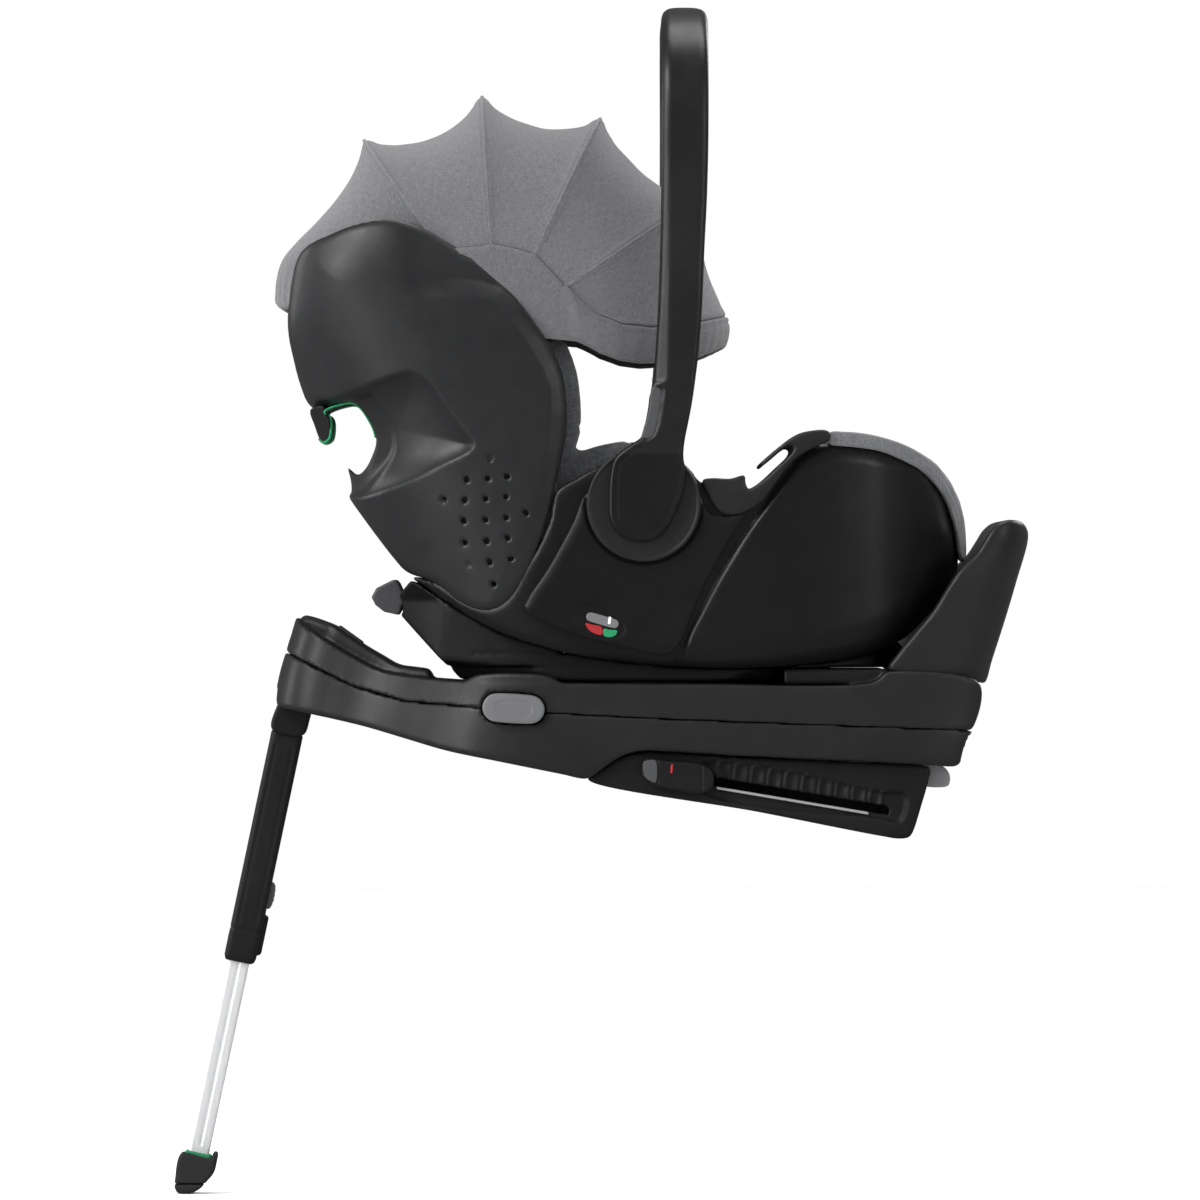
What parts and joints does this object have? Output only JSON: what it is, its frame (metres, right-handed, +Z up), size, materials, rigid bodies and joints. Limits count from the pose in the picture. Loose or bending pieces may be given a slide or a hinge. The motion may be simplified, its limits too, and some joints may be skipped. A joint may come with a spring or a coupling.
{
  "type": "infant car seat",
  "caption": "Rear-facing infant carrier with ribbed canopy and carry handle, on a swivelling ISOFIX base with rebound bar and telescopic support leg.",
  "frame": {"origin": "middle of the line between the two ISOFIX anchor bars", "axes": "+Z up, +X towards the vehicle seat back, +Y across the seat; the part is symmetric about Y = 0"},
  "size_m": [0.8337, 0.434, 1.1608],
  "materials": {
    "shell_grey": "satin",
    "shell_black": "satin",
    "base_plastic": "satin",
    "trim_grey": "satin",
    "canopy_fabric": "matte",
    "cover_fabric": "matte",
    "foam": "matte",
    "webbing": "matte",
    "aluminium": "satin",
    "steel": "satin",
    "rubber": "matte",
    "button_red": "gloss",
    "guide_green": "satin"
  },
  "bodies": {
    "base": {"base_lower_shell": "base_plastic", "base_upper_shell": "base_plastic", "isofix_housing": "shell_black", "rebound_bar": "base_plastic", "leg_hinge_pin": "steel"},
    "nose_button": {"nose_release_button": "trim_grey"},
    "swivel_button_l": {"swivel_button_left": "trim_grey"},
    "swivel_button_r": {"swivel_button_right": "trim_grey"},
    "isofix": {"isofix_arm_left": "steel", "isofix_arm_right": "steel", "isofix_connector_left": "trim_grey", "isofix_connector_right": "trim_grey", "isofix_slider_left": "shell_black", "isofix_slider_right": "shell_black"},
    "leg": {"leg_bracket": "shell_black", "leg_upper_tube": "shell_black"},
    "leg_button": {"leg_length_button": "trim_grey"},
    "leg_lower": {"leg_lower_tube": "aluminium", "leg_foot": "rubber", "leg_foot_indicator": "guide_green"},
    "swivel": {"swivel_plate": "shell_black", "cradle": "shell_black"},
    "lever": {"carrier_release_lever": "trim_grey"},
    "carrier": {"head_shell": "shell_grey", "seat_shell": "shell_black", "side_panel_left": "shell_black", "side_panel_right": "shell_black", "lock_indicator_left": "trim_grey", "lock_indicator_right": "trim_grey", "belt_hook_left": "trim_grey", "belt_hook_right": "trim_grey", "belt_guide_left": "guide_green", "belt_guide_right": "guide_green", "foam_liner": "foam", "back_pad": "cover_fabric", "seat_pad": "cover_fabric", "side_bolster_left": "cover_fabric", "side_bolster_right": "cover_fabric", "foot_rim_cover": "canopy_fabric", "shoulder_strap_left": "webbing", "shoulder_strap_right": "webbing", "crotch_strap": "webbing", "buckle": "shell_black", "handle_hub_left": "shell_grey", "handle_hub_right": "shell_grey", "canopy_rib_1": "shell_black", "canopy_skin_back": "canopy_fabric"},
    "headrest": {"headrest": "cover_fabric"},
    "buckle_button": {"buckle_button": "button_red"},
    "adjuster": {"harness_adjuster_button": "trim_grey"},
    "handle": {"handle_bow": "base_plastic"},
    "handle_button_l": {"handle_button_left": "trim_grey"},
    "handle_button_r": {"handle_button_right": "trim_grey"},
    "canopy_2": {"canopy_rib_2": "shell_black", "canopy_skin_rear": "canopy_fabric"},
    "canopy_3": {"canopy_rib_3": "shell_black", "canopy_skin_top": "canopy_fabric"},
    "canopy_4": {"canopy_rib_4": "shell_black", "canopy_skin_front": "canopy_fabric"},
    "visor": {"canopy_visor": "canopy_fabric"}
  },
  "joints": [
    {"name": "swivel_turn", "type": "hinge", "parent": "base", "child": "swivel", "pos_m": [-0.291, 0, 0.08439], "axis": [0, 0, 1], "range_deg": [-90, 90]},
    {"name": "carrier_lift", "type": "slide", "parent": "swivel", "child": "carrier", "axis": [0, 0, 1], "range_m": [0, 0.25]},
    {"name": "release_lever_pull", "type": "hinge", "parent": "swivel", "child": "lever", "pos_m": [-0.51992, 0, 0.17169], "axis": [0, 1, 0], "range_deg": [0, 12], "stiffness_Nm_per_rad": 0.6, "springref_deg": -8.59},
    {"name": "swivel_press_left", "type": "slide", "parent": "base", "child": "swivel_button_l", "axis": [0, 1, 0], "range_m": [0, 0.004], "stiffness_N_per_m": 900, "springref_m": -0.002},
    {"name": "swivel_press_right", "type": "slide", "parent": "base", "child": "swivel_button_r", "axis": [0, -1, 0], "range_m": [0, 0.004], "stiffness_N_per_m": 900, "springref_m": -0.002},
    {"name": "nose_press", "type": "slide", "parent": "base", "child": "nose_button", "axis": [0, 0, -1], "range_m": [0, 0.003], "stiffness_N_per_m": 900, "springref_m": -0.002},
    {"name": "isofix_slide", "type": "slide", "parent": "base", "child": "isofix", "axis": [0.9863, 0, -0.165], "range_m": [0, 0.147]},
    {"name": "leg_fold", "type": "hinge", "parent": "base", "child": "leg", "pos_m": [-0.62807, 0, 0.07954], "axis": [0, 1, 0], "range_deg": [-80, 0]},
    {"name": "leg_extend", "type": "slide", "parent": "leg", "child": "leg_lower", "axis": [-0.2062, 0, -0.9785], "range_m": [-0.17, 0.035]},
    {"name": "leg_length_press", "type": "slide", "parent": "leg", "child": "leg_button", "axis": [-0.9785, 0, 0.2062], "range_m": [0, 0.002], "stiffness_N_per_m": 900, "springref_m": -0.002},
    {"name": "headrest_slide", "type": "slide", "parent": "carrier", "child": "headrest", "axis": [-0.7554, 0, 0.6553], "range_m": [-0.03, 0]},
    {"name": "buckle_press", "type": "slide", "parent": "carrier", "child": "buckle_button", "axis": [-0.3759, 0, -0.9267], "range_m": [0, 0.0015], "stiffness_N_per_m": 900, "springref_m": -0.002},
    {"name": "adjuster_press", "type": "slide", "parent": "carrier", "child": "adjuster", "axis": [0.184, 0, -0.9829], "range_m": [0, 0.003], "stiffness_N_per_m": 900, "springref_m": -0.002},
    {"name": "handle_fold", "type": "hinge", "parent": "carrier", "child": "handle", "pos_m": [-0.2876, 0, 0.26384], "axis": [0, 1, 0], "range_deg": [-110, 0]},
    {"name": "handle_press_left", "type": "slide", "parent": "handle", "child": "handle_button_l", "axis": [0, 1, 0], "range_m": [0, 0.003], "stiffness_N_per_m": 900, "springref_m": -0.002},
    {"name": "handle_press_right", "type": "slide", "parent": "handle", "child": "handle_button_r", "axis": [0, -1, 0], "range_m": [0, 0.003], "stiffness_N_per_m": 900, "springref_m": -0.002},
    {"name": "canopy_fold", "type": "hinge", "parent": "carrier", "child": "canopy_2", "pos_m": [-0.42971, 0, 0.42874], "axis": [0, 1, 0], "range_deg": [-24, 0]},
    {"name": "canopy_fold_3", "type": "hinge", "parent": "canopy_2", "child": "canopy_3", "pos_m": [-0.42971, 0, 0.42874], "axis": [0, 1, 0], "range_deg": [-24, 0]},
    {"name": "canopy_fold_4", "type": "hinge", "parent": "canopy_3", "child": "canopy_4", "pos_m": [-0.42971, 0, 0.42874], "axis": [0, 1, 0], "range_deg": [-24, 0]},
    {"name": "visor_fold", "type": "hinge", "parent": "canopy_4", "child": "visor", "pos_m": [-0.42971, 0, 0.42874], "axis": [0, 1, 0], "range_deg": [-24, 0]}
  ],
  "couplings": [
    {"joint": "canopy_fold_3", "follows": "canopy_fold", "ratio": 1},
    {"joint": "canopy_fold_4", "follows": "canopy_fold", "ratio": 1},
    {"joint": "visor_fold", "follows": "canopy_fold", "ratio": 1}
  ]
}
